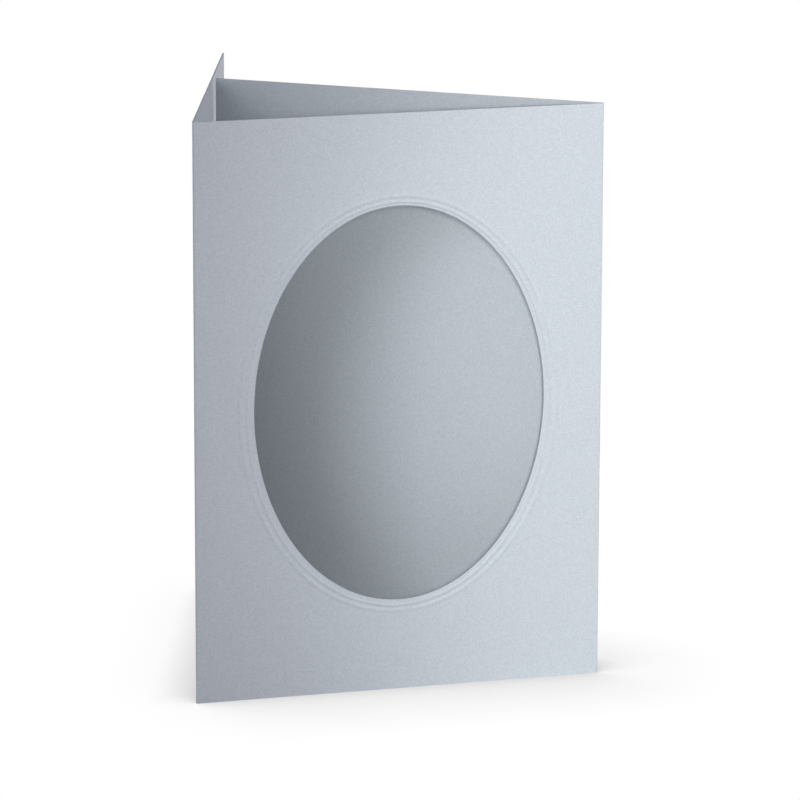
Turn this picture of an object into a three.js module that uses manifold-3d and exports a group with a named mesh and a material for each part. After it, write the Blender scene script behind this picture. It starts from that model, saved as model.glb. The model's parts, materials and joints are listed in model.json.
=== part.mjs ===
// Passe-partout card: one sheet of stiff pearl paper, creased twice so that it stands as a triangle.
// The panel in front has an oval window with two embossed rings round it. The back panel runs back
// from its left edge, and the closing flap runs back from its right edge and leans towards it.
// Millimetres, +Z up, +Y away from the viewer, origin under the middle of the part.

import * as THREE from 'three';
import { mergeVertices } from 'three/addons/utils/BufferGeometryUtils.js';
import Module from 'manifold-3d';

const wasm = await Module();
wasm.setup();
const { Manifold, Mesh } = wasm;

// The sheet. Panel widths are measured over the outside of the folds.
const cardHeight = 168;
const windowPanelWidth = 120;
const backPanelWidth = 118;
const flapWidth = 118.4;
const paperThickness = 0.4;

// The creases: inner radius of a fold, and how far the crease's inner bead reaches along each face.
const foldInnerRadius = 0.15;
const beadReach = 0.55;

// How it stands: the corner between window panel and flap, and the flap's gap to the back panel.
const flapCorner = THREE.MathUtils.degToRad(35.44);
const flapGap = 0.87;

// The oval window, cut in the middle of its panel.
const windowWidth = 85.5;
const windowHeight = 115;

// The embossed rings round the window, inner one first. Each stands out of the front and is hollow
// behind. The margins run from the window's edge to the ring's crest, at the sides and at the ends.
const embossedRings = [
  { sideMargin: 1.97, endMargin: 1.45, width: 1.3, height: 0.15 },
  { sideMargin: 3.95, endMargin: 3.04, width: 1.6, height: 0.2 },
];
// The embossing die sits a little lower left than the cutting die.
const dieShiftX = -0.13;
const dieShiftZ = -0.24;

// Fineness of the facets.
const stepsRoundOval = 96;
const stepsAcrossRing = 8;
const stepsRoundFold = 10;

const foldOuterRadius = foldInnerRadius + paperThickness;

// Plan directions of a panel: along it from its fold, and out of its outer face.
const flapAlong = new THREE.Vector2(-Math.cos(flapCorner), Math.sin(flapCorner));
const flapOutward = new THREE.Vector2(Math.sin(flapCorner), Math.cos(flapCorner));

// Both folds turn about a centre inside the corner, with the window panel's front face on y = 0.
const leftFoldCentre = new THREE.Vector2(foldOuterRadius, foldOuterRadius);
const rightFoldCentre = new THREE.Vector2(windowPanelWidth - foldOuterRadius, foldOuterRadius);

// A point in plan: from a fold's centre, so far out across the paper and so far along the panel.
function onPanel(foldCentre, outward, radius, along, distance) {
  return foldCentre.clone().addScaledVector(outward, radius).addScaledVector(along, distance);
}

// The back panel's corner follows from the flap: its inner face passes flapGap from the flap's end.
const flapStraight = flapWidth - foldOuterRadius;
const flapEnd = onPanel(rightFoldCentre, flapOutward, foldInnerRadius, flapAlong, flapStraight);
const fromLeftFold = flapEnd.clone().sub(leftFoldCentre);
const backCorner = fromLeftFold.angle() + Math.asin((flapGap - foldInnerRadius) / fromLeftFold.length());
const backAlong = new THREE.Vector2(Math.cos(backCorner), Math.sin(backCorner));
const backOutward = new THREE.Vector2(-Math.sin(backCorner), Math.cos(backCorner));
const backStraight = backPanelWidth - foldOuterRadius;

// Where the inner faces of the window panel and of a neighbour would meet if the fold were sharp.
function innerCornerOf(foldCentre, alongWindowPanel, corner) {
  const setBack = foldInnerRadius / Math.tan(corner / 2);
  return new THREE.Vector2(foldCentre.x - alongWindowPanel * setBack, paperThickness);
}

// The bead that the crease pushes up inside a fold, as a soft bulge from one inner face to the other.
function addBead(outline, innerCorner, alongFrom, alongTo) {
  const start = innerCorner.clone().addScaledVector(alongFrom, beadReach);
  const end = innerCorner.clone().addScaledVector(alongTo, beadReach);
  const crown = start.clone().add(end).sub(innerCorner);
  outline.lineTo(start.x, start.y);
  outline.quadraticCurveTo(crown.x, crown.y, end.x, end.y);
}

// The section of the folded sheet, seen from above.
function foldedSection() {
  const towardsRight = new THREE.Vector2(1, 0);
  const towardsLeft = new THREE.Vector2(-1, 0);
  const leftInner = innerCornerOf(leftFoldCentre, 1, backCorner);
  const rightInner = innerCornerOf(rightFoldCentre, -1, flapCorner);
  const backEndOuter = onPanel(leftFoldCentre, backOutward, foldOuterRadius, backAlong, backStraight);
  const backEndInner = onPanel(leftFoldCentre, backOutward, foldInnerRadius, backAlong, backStraight);
  const flapEndOuter = onPanel(rightFoldCentre, flapOutward, foldOuterRadius, flapAlong, flapStraight);

  const outline = new THREE.Shape();
  outline.moveTo(leftFoldCentre.x, 0);
  outline.lineTo(rightFoldCentre.x, 0);
  outline.absarc(rightFoldCentre.x, rightFoldCentre.y, foldOuterRadius, -Math.PI / 2, flapOutward.angle(), false);
  outline.lineTo(flapEndOuter.x, flapEndOuter.y);
  outline.lineTo(flapEnd.x, flapEnd.y);
  addBead(outline, rightInner, flapAlong, towardsLeft);
  addBead(outline, leftInner, towardsRight, backAlong);
  outline.lineTo(backEndInner.x, backEndInner.y);
  outline.lineTo(backEndOuter.x, backEndOuter.y);
  outline.absarc(leftFoldCentre.x, leftFoldCentre.y, foldOuterRadius, backOutward.angle(), Math.PI * 1.5, false);
  return outline;
}

// A three.js geometry as a manifold solid, with shared corners merged.
function toSolid(geometry) {
  const bare = geometry.clone();
  bare.deleteAttribute('normal');
  bare.deleteAttribute('uv');
  const merged = mergeVertices(bare, 1e-5);
  return new Manifold(new Mesh({
    numProp: 3,
    vertProperties: new Float32Array(merged.attributes.position.array),
    triVerts: new Uint32Array(merged.index.array),
  }));
}

// A flat outline pushed straight up from z = 0.
function uprightSolid(outline, height, curveSegments) {
  return toSolid(new THREE.ExtrudeGeometry(outline, { depth: height, bevelEnabled: false, curveSegments }));
}

// A closed section swept round an ellipse that stands in the window panel's plane. Each section
// point is [distance out from the ellipse, y], and the points run clockwise seen along the sweep.
function sweptOval(centreX, centreZ, halfWidth, halfHeight, section) {
  const positions = [];
  for (let step = 0; step < stepsRoundOval; step += 1) {
    const angle = (step / stepsRoundOval) * Math.PI * 2;
    const onOval = new THREE.Vector2(halfWidth * Math.cos(angle), halfHeight * Math.sin(angle));
    const outward = new THREE.Vector2(Math.cos(angle) / halfWidth, Math.sin(angle) / halfHeight).normalize();
    for (const [distance, y] of section) {
      positions.push(centreX + onOval.x + outward.x * distance, y, centreZ + onOval.y + outward.y * distance);
    }
  }
  const triangles = [];
  for (let step = 0; step < stepsRoundOval; step += 1) {
    const here = step * section.length;
    const next = ((step + 1) % stepsRoundOval) * section.length;
    for (let point = 0; point < section.length; point += 1) {
      const after = (point + 1) % section.length;
      triangles.push(here + point, here + after, next + after);
      triangles.push(here + point, next + after, next + point);
    }
  }
  const geometry = new THREE.BufferGeometry();
  geometry.setAttribute('position', new THREE.Float32BufferAttribute(positions, 3));
  geometry.setIndex(triangles);
  return toSolid(geometry);
}

// A ring's section: a soft raised crest on the face at y = faceY, closed by a root depth behind it.
function crestSection(ring, faceY, rootDepth) {
  const section = [];
  for (let step = 0; step <= stepsAcrossRing; step += 1) {
    const across = step / stepsAcrossRing - 0.5;
    const rise = ring.height * Math.cos(across * Math.PI) ** 2;
    section.push([across * ring.width, faceY - rise]);
  }
  section.push([ring.width / 2, faceY + rootDepth]);
  section.push([-ring.width / 2, faceY + rootDepth]);
  return section;
}

const panelMiddleX = windowPanelWidth / 2;
const panelMiddleZ = cardHeight / 2;

// One embossed ring at a face of the window panel: the paper it adds in front, or clears behind.
function ringAt(ring, faceY, rootDepth) {
  return sweptOval(
    panelMiddleX + dieShiftX,
    panelMiddleZ + dieShiftZ,
    windowWidth / 2 + ring.sideMargin,
    windowHeight / 2 + ring.endMargin,
    crestSection(ring, faceY, rootDepth),
  );
}

// The window's plug, long enough to pass the paper on both sides.
function windowPlug() {
  const oval = new THREE.Shape();
  oval.absellipse(panelMiddleX, 0, windowWidth / 2, windowHeight / 2, 0, Math.PI * 2, false, 0);
  return uprightSolid(oval, paperThickness * 3, stepsRoundOval / 2)
    .rotate([90, 0, 0])
    .translate([0, paperThickness * 2, panelMiddleZ]);
}

function foldedCard() {
  let card = uprightSolid(foldedSection(), cardHeight, stepsRoundFold);
  for (const ring of embossedRings) {
    const added = ringAt(ring, 0, paperThickness / 2);
    const cleared = ringAt(ring, paperThickness, paperThickness / 2);
    card = card.subtract(cleared).add(added);
  }
  return card.subtract(windowPlug());
}

// A manifold solid as a flat-shaded three.js geometry.
function toGeometry(solid) {
  const { vertProperties, triVerts } = solid.getMesh();
  const geometry = new THREE.BufferGeometry();
  geometry.setAttribute('position', new THREE.BufferAttribute(new Float32Array(vertProperties), 3));
  geometry.setIndex(new THREE.BufferAttribute(new Uint32Array(triVerts), 1));
  return geometry;
}

const pearlPaper = new THREE.MeshStandardMaterial({ color: 0xc4c9d6, roughness: 0.5, metalness: 0.2 });

const geometry = toGeometry(foldedCard());
geometry.computeBoundingBox();
const middle = geometry.boundingBox.getCenter(new THREE.Vector3());
geometry.translate(-middle.x, -middle.y, -geometry.boundingBox.min.z);
geometry.computeVertexNormals();

const card = new THREE.Mesh(geometry, pearlPaper);
card.name = 'folded_card';

const part = new THREE.Group();
part.name = 'passe_partout_card';
part.add(card);

export default part;
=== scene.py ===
# Passe-partout card in silver-blue pearl paper, folded from one sheet, on a plain pale floor.
import json
import math

import bmesh
import bpy
from bpy.props import FloatProperty, FloatVectorProperty, IntProperty, PointerProperty
from mathutils import Matrix, Vector

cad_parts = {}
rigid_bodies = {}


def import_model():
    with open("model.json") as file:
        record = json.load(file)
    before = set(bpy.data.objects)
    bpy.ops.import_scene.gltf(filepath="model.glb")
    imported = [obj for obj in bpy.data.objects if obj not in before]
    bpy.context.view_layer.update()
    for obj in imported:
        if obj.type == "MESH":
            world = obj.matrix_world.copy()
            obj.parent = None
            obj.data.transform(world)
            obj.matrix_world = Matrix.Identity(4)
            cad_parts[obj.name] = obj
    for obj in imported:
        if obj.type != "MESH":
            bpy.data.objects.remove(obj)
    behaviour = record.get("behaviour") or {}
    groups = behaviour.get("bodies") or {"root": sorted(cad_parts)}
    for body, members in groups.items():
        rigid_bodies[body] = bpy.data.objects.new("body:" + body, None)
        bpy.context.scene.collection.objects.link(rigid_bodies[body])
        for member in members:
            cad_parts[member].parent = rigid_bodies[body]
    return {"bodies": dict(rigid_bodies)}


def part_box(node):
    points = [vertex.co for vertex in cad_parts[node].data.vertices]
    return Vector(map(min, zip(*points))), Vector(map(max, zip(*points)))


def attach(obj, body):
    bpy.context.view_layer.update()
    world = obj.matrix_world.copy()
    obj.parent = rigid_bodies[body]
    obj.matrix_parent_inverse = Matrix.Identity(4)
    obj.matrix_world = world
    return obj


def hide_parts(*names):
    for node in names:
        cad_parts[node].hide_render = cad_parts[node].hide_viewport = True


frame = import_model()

bl_info = {
    "name": "Passe-partout card",
    "version": (1, 0, 0),
    "blender": (4, 5, 0),
    "location": "View3D > Sidebar > Card",
    "description": "Folds a window card from one sheet of pearl paper and lights it in a studio",
    "category": "Object",
}

CAD_NODE = "folded_card"
BODY = next(iter(frame["bodies"]))
LOW, HIGH = (Vector(corner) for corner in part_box(CAD_NODE))
MM = 0.001
MICRON = 1e-6


def length(name, description, default_mm):
    """A length property, written here in millimetres and kept in metres."""
    return FloatProperty(name=name, description=description, default=default_mm * MM,
                         min=0.0, subtype="DISTANCE", unit="LENGTH", precision=5)


def angle(name, description, default_degrees):
    """An angle property, written here in degrees."""
    return FloatProperty(name=name, description=description, default=math.radians(default_degrees),
                         subtype="ANGLE", unit="ROTATION")


def colour(name, description, default):
    """A colour property in linear light."""
    return FloatVectorProperty(name=name, description=description, default=default, size=3,
                               min=0.0, max=1.0, subtype="COLOR")


def factor(name, description, default):
    """A plain number from 0 to 1."""
    return FloatProperty(name=name, description=description, default=default, min=0.0, max=1.0,
                         subtype="FACTOR")


def power(name, description, default):
    """The power of a lamp in watts."""
    return FloatProperty(name=name, description=description, default=default, min=0.0, unit="POWER")


class CardSheet(bpy.types.PropertyGroup):
    """Sizes of the folded sheet. Panel widths are measured over the outside of the folds."""
    back_width: length("Back panel", "Width of the panel that runs back on the left", 118.0)
    flap_width: length("Flap", "Width of the closing flap on the right", 118.4)
    thickness: length("Paper", "Thickness of the paper", 0.4)
    fold_radius: length("Fold radius", "Inner radius of both folds", 0.15)
    bead_reach: length("Crease bead", "How far the crease's inner bead reaches from a fold", 0.55)
    flap_corner: angle("Flap corner", "Angle between the window panel and the flap", 35.44)
    flap_gap: length("Flap gap", "Gap between the flap's end and the back panel", 0.87)
    window_width: length("Window width", "Full width of the oval window", 85.5)
    window_height: length("Window height", "Full height of the oval window", 115.0)
    die_shift_x: FloatProperty(name="Die shift X", description="Sideways offset of the embossing die",
                               default=-0.13 * MM, subtype="DISTANCE", unit="LENGTH", precision=5)
    die_shift_z: FloatProperty(name="Die shift Z", description="Upward offset of the embossing die",
                               default=-0.24 * MM, subtype="DISTANCE", unit="LENGTH", precision=5)
    edge_chamfer: length("Edge softness", "How far a cut edge is rounded off", 0.04)
    oval_steps: IntProperty(name="Steps round the oval", description="Facets round the window and rings",
                            default=240, min=24)
    fold_steps: IntProperty(name="Steps round a fold", description="Facets round each fold",
                            default=12, min=3)
    ring_steps: IntProperty(name="Steps across a ring", description="Facets across each embossed ring",
                            default=14, min=4)
    panel_steps: IntProperty(name="Steps along a panel", description="Faces along the back panel and flap",
                             default=36, min=1)


class EmbossedRing(bpy.types.PropertyGroup):
    """One raised ring: how far its crest lies from the window's edge, how wide and how high it is."""
    side_margin: length("Side margin", "From the window's edge to the crest, at the sides", 1.97)
    end_margin: length("End margin", "From the window's edge to the crest, at top and bottom", 1.45)
    width: length("Width", "Width of the raised ring", 1.3)
    height: length("Height", "Height of the crest above the panel", 0.18)


class CardFinish(bpy.types.PropertyGroup):
    """Colours and texture of the pearl paper and of its cut edges."""
    pearl: colour("Pearl", "Colour of the paper's faces", (0.503, 0.533, 0.567))
    fleck: colour("Fleck", "Colour of the brightest mica flecks", (0.584, 0.614, 0.647))
    core: colour("Core", "Colour of the paper where it is cut", (0.40, 0.42, 0.455))
    shine: factor("Shine", "How metallic the mica makes the paper", 0.07)
    roughness: factor("Roughness", "Roughness of the pearl faces", 0.55)
    grain_size: length("Grain", "Size of the felt grain", 0.37)
    grain_depth: length("Grain depth", "Height of the felt grain", 0.006)
    fleck_share: factor("Fleck share", "How much of the faces' tone comes from flecks", 0.5)
    specular: factor("Specular", "Level of the clear reflection over the fibres", 0.12)
    edge_roughness: factor("Edge roughness", "Roughness of the cut edges", 0.85)
    edge_fleck_share: factor("Edge fleck share", "How much of the cut edges' tone comes from flecks", 0.2)


class StudioLight(bpy.types.PropertyGroup):
    """Levels of the studio's light and the tone of its floor."""
    floor: colour("Floor", "Colour of the floor", (0.86, 0.86, 0.865))
    # Contact and hidden shade are painted shadow in the floor's white glow, made by ambient occlusion and
    # not by the lamps. The light and lean that they speak of are the tilt of the occlusion's hemisphere.
    contact: factor("Contact shade", "How dark the card's soft shadow is where it stands", 0.44)
    contact_reach: length("Contact reach", "How near the card has to be for the soft shadow", 45.0)
    contact_lean: angle("Contact lean", "How far the soft shadow's light leans to the left", 38.0)
    hidden: factor("Hidden shade", "How much darker the floor is where the card hides the front light", 0.48)
    hidden_reach: length("Hidden reach", "How near the card has to be to hide the front light", 14.0)
    hidden_lean: angle("Hidden lean", "How far the front light leans to the front", 40.0)
    fill: factor("Fill", "Level of the light from all round", 0.02)
    pool: power("Pool", "Power of the lamp that pools on the right of the card", 32.3)
    right: power("Right softbox", "Power of the softbox on the right", 5.4)
    left: power("Left softbox", "Power of the softbox on the left", 3.35)
    rear: power("Rear softbox", "Power of the softbox behind, which lights the outside of the flap", 9.0)
    pool_tint: colour("Pool tint", "Tint of the pool's light", (0.96, 1.0, 0.965))
    softbox_tint: colour("Softbox tint", "Tint of the softboxes' light", (0.93, 0.93, 1.0))


class FoldedPlan:
    """Plan of the folded sheet with the window panel's front face on y = 0, all in metres."""

    def __init__(self, sheet):
        self.width = HIGH.x - LOW.x
        self.height = HIGH.z - LOW.z
        self.inner = sheet.fold_radius
        self.outer = sheet.fold_radius + sheet.thickness
        self.left_centre = Vector((self.outer, self.outer))
        self.right_centre = Vector((self.width - self.outer, self.outer))
        self.flap_corner = sheet.flap_corner
        self.flap_along = Vector((-math.cos(self.flap_corner), math.sin(self.flap_corner)))
        self.flap_outward = Vector((math.sin(self.flap_corner), math.cos(self.flap_corner)))
        self.flap_straight = sheet.flap_width - self.outer
        flap_end = (self.right_centre + self.flap_outward * self.inner
                    + self.flap_along * self.flap_straight)
        reach = flap_end - self.left_centre
        lean = math.asin((sheet.flap_gap - self.inner) / reach.length)
        self.back_corner = math.atan2(reach.y, reach.x) + lean
        self.back_along = Vector((math.cos(self.back_corner), math.sin(self.back_corner)))
        self.back_straight = sheet.back_width - self.outer


def embossed_rings():
    """The rings from the window outwards."""
    return bpy.context.scene.card_inner_ring, bpy.context.scene.card_outer_ring


def front_corner():
    """Place of the plan's origin in the frame: the left front lower corner, behind the tallest ring."""
    tallest = max(ring.height for ring in embossed_rings())
    return Vector((LOW.x, LOW.y + tallest, LOW.z))


def edges_between(verts):
    """Edges that have both ends among the vertices."""
    chosen = set(verts)
    return [edge for edge in {e for v in chosen for e in v.link_edges} if chosen.issuperset(edge.verts)]


def upright(centre, half_width, half_height, y):
    """Matrix that stands a flat unit shape up at depth y, with these half sizes."""
    return (Matrix.Translation((centre.x, y, centre.y)) @ Matrix.Rotation(math.pi / 2, 4, "X")
            @ Matrix.Diagonal((half_width, half_height, 1.0, 1.0)))


def draw_out(bm, edges):
    """Extrudes a run of edges in place. Returns the new edges and their vertices."""
    drawn = bmesh.ops.extrude_edge_only(bm, edges=edges)["geom"]
    verts = [item for item in drawn if isinstance(item, bmesh.types.BMVert)]
    return edges_between(verts), verts


def ring_ovals(sheet, die):
    """Ovals across both embossed rings, from the window outwards. A crest is steeper on its inner side."""
    crest_skew = 0.8
    for ring in embossed_rings():
        for step in range(sheet.ring_steps + 1):
            share = step / sheet.ring_steps
            rise = ring.height * math.sin(share ** crest_skew * math.pi) ** 2
            from_middle = (share - 0.5) * ring.width
            half_width = sheet.window_width / 2 + ring.side_margin + from_middle
            half_height = sheet.window_height / 2 + ring.end_margin + from_middle
            yield upright(die, half_width, half_height, -rise)


def window_panel(bm, sheet, plan):
    """The front panel: window edge, embossed rings, then flat paper out to its rectangle."""
    middle = Vector((plan.width / 2, plan.height / 2))
    die = middle + Vector((sheet.die_shift_x, sheet.die_shift_z))
    oval = upright(middle, sheet.window_width / 2, sheet.window_height / 2, 0.0)
    made = bmesh.ops.create_circle(bm, cap_ends=False, segments=sheet.oval_steps, radius=1.0,
                                   matrix=oval)
    edges = edges_between(made["verts"])
    for next_oval in ring_ovals(sheet, die):
        edges, verts = draw_out(bm, edges)
        bmesh.ops.transform(bm, matrix=next_oval @ oval.inverted(), verts=verts)
        oval = next_oval
    edges, verts = draw_out(bm, edges)
    rectangle = upright(middle, plan.width / 2 - plan.outer, plan.height / 2, 0.0)
    for vert in verts:
        on_circle = oval.inverted() @ vert.co
        vert.co = rectangle @ (on_circle / max(abs(on_circle.x), abs(on_circle.y)))


def fold_off(bm, sheet, start_x, centre, turn, along, straight):
    """Turns the window panel's side edge round its fold and draws out the next panel from it."""
    edges = edges_between([v for v in bm.verts if abs(v.co.x - start_x) < MICRON])
    verts = list({v for edge in edges for v in edge.verts})
    spun = bmesh.ops.spin(bm, geom=verts + edges, cent=(*centre, 0.0), axis=(0.0, 0.0, 1.0),
                          angle=turn, steps=sheet.fold_steps)
    edges = [item for item in spun["geom_last"] if isinstance(item, bmesh.types.BMEdge)]
    stride = Vector((*(along * (straight / sheet.panel_steps)), 0.0))
    for _ in range(sheet.panel_steps):
        edges, verts = draw_out(bm, edges)
        bmesh.ops.translate(bm, vec=stride, verts=verts)


def raise_bead(bm, sheet, plan, centre, towards_panel, towards_neighbour, corner):
    """Swells the inside of a fold into the bead that a creasing rule leaves."""
    set_back = plan.inner / math.tan(corner / 2)
    sharp_corner = Vector((centre.x - towards_panel.x * set_back, sheet.thickness))
    start = sharp_corner + towards_panel * sheet.bead_reach
    end = sharp_corner + towards_neighbour * sheet.bead_reach
    crown = start + end - sharp_corner
    first = Vector((0.0, -1.0))
    inside_fold = plan.inner * 1.1
    for vert in bm.verts:
        spoke = vert.co.xy - centre
        if spoke.length < inside_fold:
            along = abs(spoke.angle_signed(first)) / (math.pi - corner)
            vert.co.xy = start * (1 - along) ** 2 + crown * 2 * along * (1 - along) + end * along ** 2


def give_thickness(bm, sheet):
    """Thickens the sheet inwards and returns the strips of cut edge that this leaves."""
    bmesh.ops.recalc_face_normals(bm, faces=bm.faces)
    bm.faces.ensure_lookup_table()
    at_window = bm.faces[0]
    # Normals that point to the back here are the wrong way round for the whole sheet.
    if at_window.normal.y > 0:
        bmesh.ops.reverse_faces(bm, faces=bm.faces)
    inside = list(bm.faces)
    open_edges = [edge for edge in bm.edges if edge.is_boundary]
    inward = {vert: -sheet.thickness * vert.calc_shell_factor() * vert.normal for vert in bm.verts}
    bmesh.ops.extrude_face_region(bm, geom=inside, use_keep_orig=True)
    for vert, step in inward.items():
        vert.co += step
    already = set(inside)
    cut_faces = {face for edge in open_edges for face in edge.link_faces if face not in already}
    bmesh.ops.recalc_face_normals(bm, faces=bm.faces)
    return cut_faces


def folded_sheet_mesh(sheet, plan):
    """The whole card as one closed mesh. Its second material is on the cut edges."""
    bm = bmesh.new()
    window_panel(bm, sheet, plan)
    fold_off(bm, sheet, plan.outer, plan.left_centre, plan.back_corner - math.pi,
             plan.back_along, plan.back_straight)
    fold_off(bm, sheet, plan.width - plan.outer, plan.right_centre, math.pi - plan.flap_corner,
             plan.flap_along, plan.flap_straight)
    cut_faces = give_thickness(bm, sheet)
    raise_bead(bm, sheet, plan, plan.left_centre, Vector((1.0, 0.0)), plan.back_along, plan.back_corner)
    raise_bead(bm, sheet, plan, plan.right_centre, Vector((-1.0, 0.0)), plan.flap_along,
               plan.flap_corner)
    for face in bm.faces:
        face.smooth = True
        face.material_index = 1 if face in cut_faces else 0
    shoulders = [edge for edge in bm.edges if sum(face in cut_faces for face in edge.link_faces) == 1]
    bmesh.ops.bevel(bm, geom=shoulders, offset=sheet.edge_chamfer, offset_type="OFFSET", segments=1,
                    profile=0.5, affect="EDGES", material=-1, clamp_overlap=True)
    bmesh.ops.translate(bm, vec=front_corner(), verts=bm.verts)
    mesh = bpy.data.meshes.new("card")
    bm.to_mesh(mesh)
    bm.free()
    sharp_from = math.radians(30)
    mesh.set_sharp_from_angle(angle=sharp_from)
    return mesh


def new_group(name, inputs, outputs):
    """An empty shader node group with number inputs and outputs. Returns tree, input node, output node."""
    group = bpy.data.node_groups.new(name, "ShaderNodeTree")
    for socket_name, value in inputs.items():
        socket = group.interface.new_socket(socket_name, in_out="INPUT", socket_type="NodeSocketFloat")
        socket.default_value = value
    for socket_name in outputs:
        group.interface.new_socket(socket_name, in_out="OUTPUT", socket_type="NodeSocketFloat")
    return group, group.nodes.new("NodeGroupInput"), group.nodes.new("NodeGroupOutput")


def math_node(tree, operation, first, second):
    """A Math node fed by sockets or plain numbers. Returns its output."""
    node = tree.nodes.new("ShaderNodeMath")
    node.operation = operation
    for socket, value in zip(node.inputs, (first, second)):
        if isinstance(value, bpy.types.NodeSocket):
            tree.links.new(value, socket)
        else:
            socket.default_value = value
    return node.outputs[0]


def felt_grain_group():
    """Felt grain of art paper: fine flecks of mica over a soft, slightly larger unevenness."""
    inputs = {"Grain Size": 0.0004, "Fleck Share": 0.5}
    tree, given, result = new_group("Felt grain", inputs, ("Fleck", "Height", "Cloud"))
    place = tree.nodes.new("ShaderNodeTexCoord").outputs["Object"]
    per_metre = math_node(tree, "DIVIDE", 1.0, given.outputs["Grain Size"])

    fine = tree.nodes.new("ShaderNodeTexNoise")
    fine.inputs["Detail"].default_value = 2.0
    fine.inputs["Roughness"].default_value = 0.6
    flecks = tree.nodes.new("ShaderNodeTexVoronoi")
    cloud = tree.nodes.new("ShaderNodeTexNoise")
    cloud.inputs["Detail"].default_value = 3.0
    for node, share in ((fine, 1.0), (flecks, 1.3), (cloud, 0.016)):
        tree.links.new(place, node.inputs["Vector"])
        tree.links.new(math_node(tree, "MULTIPLY", per_metre, share), node.inputs["Scale"])

    split = tree.nodes.new("ShaderNodeSeparateColor")
    tree.links.new(flecks.outputs["Color"], split.inputs[0])
    bright = math_node(tree, "MULTIPLY", split.outputs[0], given.outputs["Fleck Share"])
    soft = math_node(tree, "MULTIPLY", fine.outputs["Fac"],
                     math_node(tree, "SUBTRACT", 1.0, given.outputs["Fleck Share"]))
    tree.links.new(math_node(tree, "ADD", bright, soft), result.inputs["Fleck"])
    tree.links.new(fine.outputs["Fac"], result.inputs["Height"])
    tree.links.new(cloud.outputs["Fac"], result.inputs["Cloud"])
    return tree


def paper_material(name, grain, finish, dark, light, roughness, metallic, fleck_share):
    """Paper between a dark and a light tone, with the felt grain in colour, gloss and relief."""
    material = bpy.data.materials.new(name)
    material.use_nodes = True
    tree = material.node_tree
    shader = tree.nodes["Principled BSDF"]
    felt = tree.nodes.new("ShaderNodeGroup")
    felt.node_tree = grain
    felt.inputs["Grain Size"].default_value = finish.grain_size
    felt.inputs["Fleck Share"].default_value = fleck_share

    tone = tree.nodes.new("ShaderNodeMix")
    tone.data_type = "RGBA"
    tone.inputs["A"].default_value = (*dark, 1.0)
    tone.inputs["B"].default_value = (*light, 1.0)
    tree.links.new(felt.outputs["Fleck"], tone.inputs["Factor"])
    tree.links.new(tone.outputs["Result"], shader.inputs["Base Color"])

    spread = 0.02
    gloss = tree.nodes.new("ShaderNodeMapRange")
    gloss.inputs["To Min"].default_value = roughness - spread
    gloss.inputs["To Max"].default_value = roughness + spread
    tree.links.new(felt.outputs["Cloud"], gloss.inputs["Value"])
    tree.links.new(gloss.outputs["Result"], shader.inputs["Roughness"])

    relief = tree.nodes.new("ShaderNodeBump")
    relief.inputs["Strength"].default_value = 1.0
    relief.inputs["Distance"].default_value = finish.grain_depth
    tree.links.new(felt.outputs["Height"], relief.inputs["Height"])
    tree.links.new(relief.outputs["Normal"], shader.inputs["Normal"])

    shader.inputs["Metallic"].default_value = metallic
    shader.inputs["IOR"].default_value = 1.5
    shader.inputs["Specular IOR Level"].default_value = finish.specular
    return material


class CARD_OT_fold_sheet(bpy.types.Operator):
    """Fold the card from one sheet, with its window, embossed rings, creases and finish"""
    bl_idname = "card.fold_sheet"
    bl_label = "Fold the sheet"

    def execute(self, context):
        sheet = context.scene.card_sheet
        finish = context.scene.card_finish
        mesh = folded_sheet_mesh(sheet, FoldedPlan(sheet))
        if not mesh.polygons:
            raise RuntimeError("the sheet has no faces")
        grain = felt_grain_group()
        pearl = Vector(finish.pearl)
        fleck = Vector(finish.fleck)
        core = Vector(finish.core)
        core_spread = 0.08
        # The pearl colour is the middle between the fleck and the dark tone.
        faces = paper_material("Pearl paper", grain, finish, pearl * 2 - fleck, fleck,
                               finish.roughness, finish.shine, finish.fleck_share)
        cut = paper_material("Cut paper edge", grain, finish, core * (1 - core_spread),
                             core * (1 + core_spread), finish.edge_roughness, 0.0,
                             finish.edge_fleck_share)
        mesh.materials.append(faces)
        mesh.materials.append(cut)
        card = bpy.data.objects.new("card", mesh)
        context.scene.collection.objects.link(card)
        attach(card, BODY)
        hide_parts(CAD_NODE)
        return {"FINISHED"}


def seen_directly(tree):
    """1 where the camera, a gloss or a clear thing looks at the surface, 0 for light on its way."""
    ray = tree.nodes.new("ShaderNodeLightPath")
    mirrored = math_node(tree, "MAXIMUM", ray.outputs["Is Glossy Ray"], ray.outputs["Is Transmission Ray"])
    return math_node(tree, "MAXIMUM", ray.outputs["Is Camera Ray"], mirrored)


def painted_occlusion_shade(tree, reach, to_left, to_front, strength):
    """Painted shade: the share of the ambient occlusion's hemisphere that things within reach block, times
    strength. The hemisphere may lean left or forward.
    """
    shade = tree.nodes.new("ShaderNodeAmbientOcclusion")
    shade.inputs["Distance"].default_value = reach
    facing = tree.nodes.new("ShaderNodeCombineXYZ")
    facing.inputs["X"].default_value = -math.sin(to_left)
    facing.inputs["Y"].default_value = -math.sin(to_front)
    facing.inputs["Z"].default_value = math.cos(to_left) * math.cos(to_front)
    tree.links.new(facing.outputs[0], shade.inputs["Normal"])
    return math_node(tree, "MULTIPLY", math_node(tree, "SUBTRACT", 1.0, shade.outputs["AO"]), strength)


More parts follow.
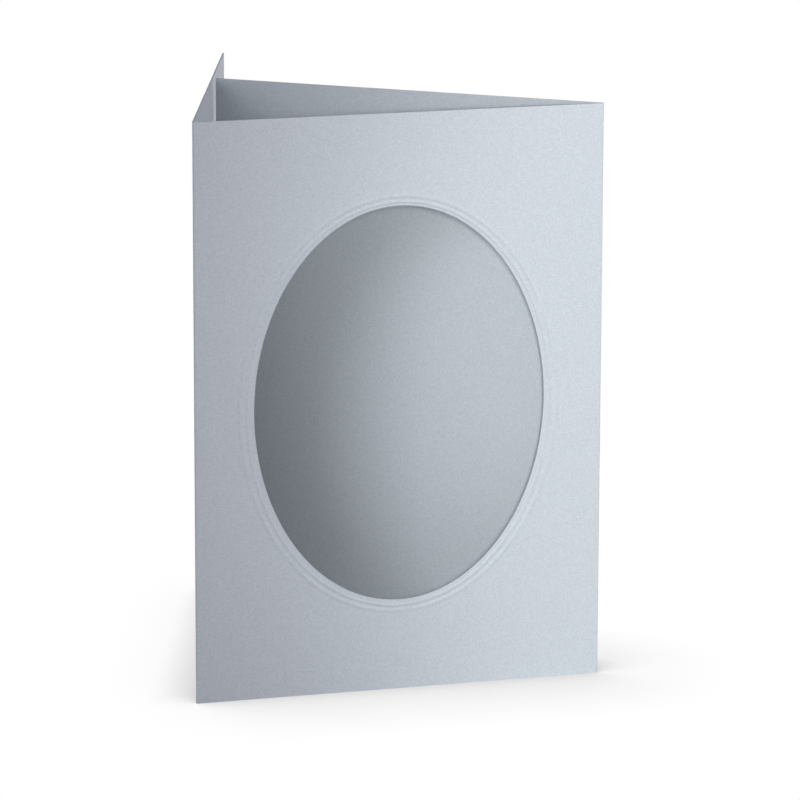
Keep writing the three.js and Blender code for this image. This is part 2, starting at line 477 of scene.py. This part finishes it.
def floor_material(studio):
    """White floor that glows for the camera and gloss, with the card's soft shadow painted into that glow by
    ambient occlusion, and plain pale paper to the light that it throws back.
    """
    material = bpy.data.materials.new("Pale floor")
    material.use_nodes = True
    tree = material.node_tree
    tree.nodes.clear()
    matt = tree.nodes.new("ShaderNodeBsdfDiffuse")
    matt.inputs["Color"].default_value = (*studio.floor, 1.0)
    # Painted shadow: two ambient occlusion shares darken the floor's white glow near the card. The lamps
    # cast no shadow on what the camera sees of the floor.
    wide = painted_occlusion_shade(tree, studio.contact_reach, studio.contact_lean, 0.0, studio.contact)
    close = painted_occlusion_shade(tree, studio.hidden_reach, 0.0, studio.hidden_lean, studio.hidden)
    white = tree.nodes.new("ShaderNodeEmission")
    glow_with_painted_shadow = math_node(tree, "SUBTRACT", 1.0, math_node(tree, "ADD", wide, close))
    tree.links.new(glow_with_painted_shadow, white.inputs["Strength"])
    choice = tree.nodes.new("ShaderNodeMixShader")
    tree.links.new(seen_directly(tree), choice.inputs["Fac"])
    tree.links.new(matt.outputs[0], choice.inputs[1])
    tree.links.new(white.outputs[0], choice.inputs[2])
    result = tree.nodes.new("ShaderNodeOutputMaterial")
    tree.links.new(choice.outputs[0], result.inputs["Surface"])
    return material


def add_floor(studio):
    """A wide floor under the card."""
    half_size = 6.0
    bm = bmesh.new()
    bmesh.ops.create_grid(bm, x_segments=1, y_segments=1, size=half_size)
    mesh = bpy.data.meshes.new("floor")
    bm.to_mesh(mesh)
    bm.free()
    mesh.materials.append(floor_material(studio))
    floor = bpy.data.objects.new("floor", mesh)
    bpy.context.scene.collection.objects.link(floor)


def add_lamp(name, kind, azimuth, elevation, distance, aim, watts, tint):
    """A lamp so far from aim, that many degrees to the right of straight in front and so many up."""
    turned, raised = math.radians(azimuth), math.radians(elevation)
    towards = Vector((math.sin(turned) * math.cos(raised), -math.cos(turned) * math.cos(raised),
                      math.sin(raised)))
    lamp = bpy.data.lights.new(name, kind)
    lamp.energy = watts
    lamp.color = tint
    holder = bpy.data.objects.new(name, lamp)
    holder.location = aim + towards * distance
    holder.rotation_euler = (-towards).to_track_quat("-Z", "Y").to_euler()
    bpy.context.scene.collection.objects.link(holder)
    return lamp


def add_softbox(name, azimuth, elevation, aim, size, watts, tint):
    """A square softbox a metre from aim."""
    distance = 1.0
    lamp = add_lamp(name, "AREA", azimuth, elevation, distance, aim, watts, tint)
    lamp.size = size


def add_pool(name, azimuth, elevation, aim, watts, tint):
    """A focused lamp whose soft pool of light is 0.62 m wide round aim."""
    distance = 1.2
    pool_radius = 0.31
    lamp = add_lamp(name, "SPOT", azimuth, elevation, distance, aim, watts, tint)
    lamp.spot_size = 2 * math.atan(pool_radius / distance)
    lamp.spot_blend = 0.5
    lamp.shadow_soft_size = 0.05


def set_world(studio):
    """Even light from all round, and plain white where something looks past the floor."""
    world = bpy.data.worlds.new("Studio")
    bpy.context.scene.world = world
    world.use_nodes = True
    tree = world.node_tree
    sky = tree.nodes["Background"]
    sky.inputs["Color"].default_value = (1.0, 1.0, 1.0, 1.0)
    lifted = math_node(tree, "MULTIPLY", seen_directly(tree), 1.0 - studio.fill)
    tree.links.new(math_node(tree, "ADD", lifted, studio.fill), sky.inputs["Strength"])


def add_camera():
    """The photograph's viewpoint: a long lens from the left and a little above."""
    image_pixels = 800
    focal_pixels = 5086.9
    pitch, roll, yaw = (math.radians(degrees) for degrees in (13.288, 0.153, -15.819))
    stand = Vector((-323.44, -1353.30, 417.40)) * MM
    lens = bpy.data.cameras.new("camera")
    lens.sensor_width = 36.0
    lens.lens = lens.sensor_width * focal_pixels / image_pixels
    camera = bpy.data.objects.new("camera", lens)
    turn = (Matrix.Rotation(yaw, 4, "Z") @ Matrix.Rotation(math.pi / 2 - pitch, 4, "X")
            @ Matrix.Rotation(roll, 4, "Z"))
    camera.matrix_world = Matrix.Translation(front_corner() + stand) @ turn
    bpy.context.scene.collection.objects.link(camera)
    bpy.context.scene.camera = camera


class CARD_OT_set_stage(bpy.types.Operator):
    """Set the floor, lamps, world and camera round the card"""
    bl_idname = "card.set_stage"
    bl_label = "Set the stage"

    def execute(self, context):
        studio = context.scene.card_studio
        window = Vector((0.0, LOW.y, HIGH.z / 2))
        # The pool is aimed past the card's right side, so that its soft rim crosses the card.
        beside = window + Vector((0.246, 0.0, 0.004))
        context.scene.view_settings.view_transform = "Standard"
        add_floor(studio)
        set_world(studio)
        add_pool("pool", -25, 13, beside, studio.pool, studio.pool_tint)
        add_softbox("right softbox", 60, 34, window, 0.4, studio.right, studio.softbox_tint)
        add_softbox("left softbox", -47, 20, window, 0.5, studio.left, studio.softbox_tint)
        add_softbox("rear softbox", -165, 10, window, 0.6, studio.rear, studio.softbox_tint)
        add_camera()
        if context.scene.camera is None:
            raise RuntimeError("the stage has no camera")
        return {"FINISHED"}


class CARD_PT_sidebar(bpy.types.Panel):
    """Sizes, colours and steps of the card"""
    bl_label = "Passe-partout card"
    bl_idname = "CARD_PT_sidebar"
    bl_space_type = "VIEW_3D"
    bl_region_type = "UI"
    bl_category = "Card"

    def draw(self, context):
        for step in STEPS:
            self.layout.operator(step.bl_idname)
        for holder in PROPERTY_HOLDERS:
            group = getattr(context.scene, holder)
            box = self.layout.box()
            for name in group.__annotations__:
                box.prop(group, name)


STEPS = (CARD_OT_fold_sheet, CARD_OT_set_stage)
PROPERTY_HOLDERS = {
    "card_sheet": CardSheet,
    "card_inner_ring": EmbossedRing,
    "card_outer_ring": EmbossedRing,
    "card_finish": CardFinish,
    "card_studio": StudioLight,
}
CLASSES = (CardSheet, EmbossedRing, CardFinish, StudioLight, *STEPS, CARD_PT_sidebar)


def register():
    for cls in CLASSES:
        bpy.utils.register_class(cls)
    for holder, group in PROPERTY_HOLDERS.items():
        setattr(bpy.types.Scene, holder, PointerProperty(type=group))


def unregister():
    for holder in PROPERTY_HOLDERS:
        delattr(bpy.types.Scene, holder)
    for cls in reversed(CLASSES):
        bpy.utils.unregister_class(cls)


def set_outer_ring(ring):
    """The outer ring is wider and higher than the inner one."""
    ring.side_margin = 4.05 * MM
    ring.end_margin = 3.14 * MM
    ring.width = 1.9 * MM
    ring.height = 0.2 * MM


def main():
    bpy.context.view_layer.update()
    register()
    set_outer_ring(bpy.context.scene.card_outer_ring)
    for step in STEPS:
        family, action = step.bl_idname.split(".")
        getattr(getattr(bpy.ops, family), action)()


if __name__ == "__main__":
    main()
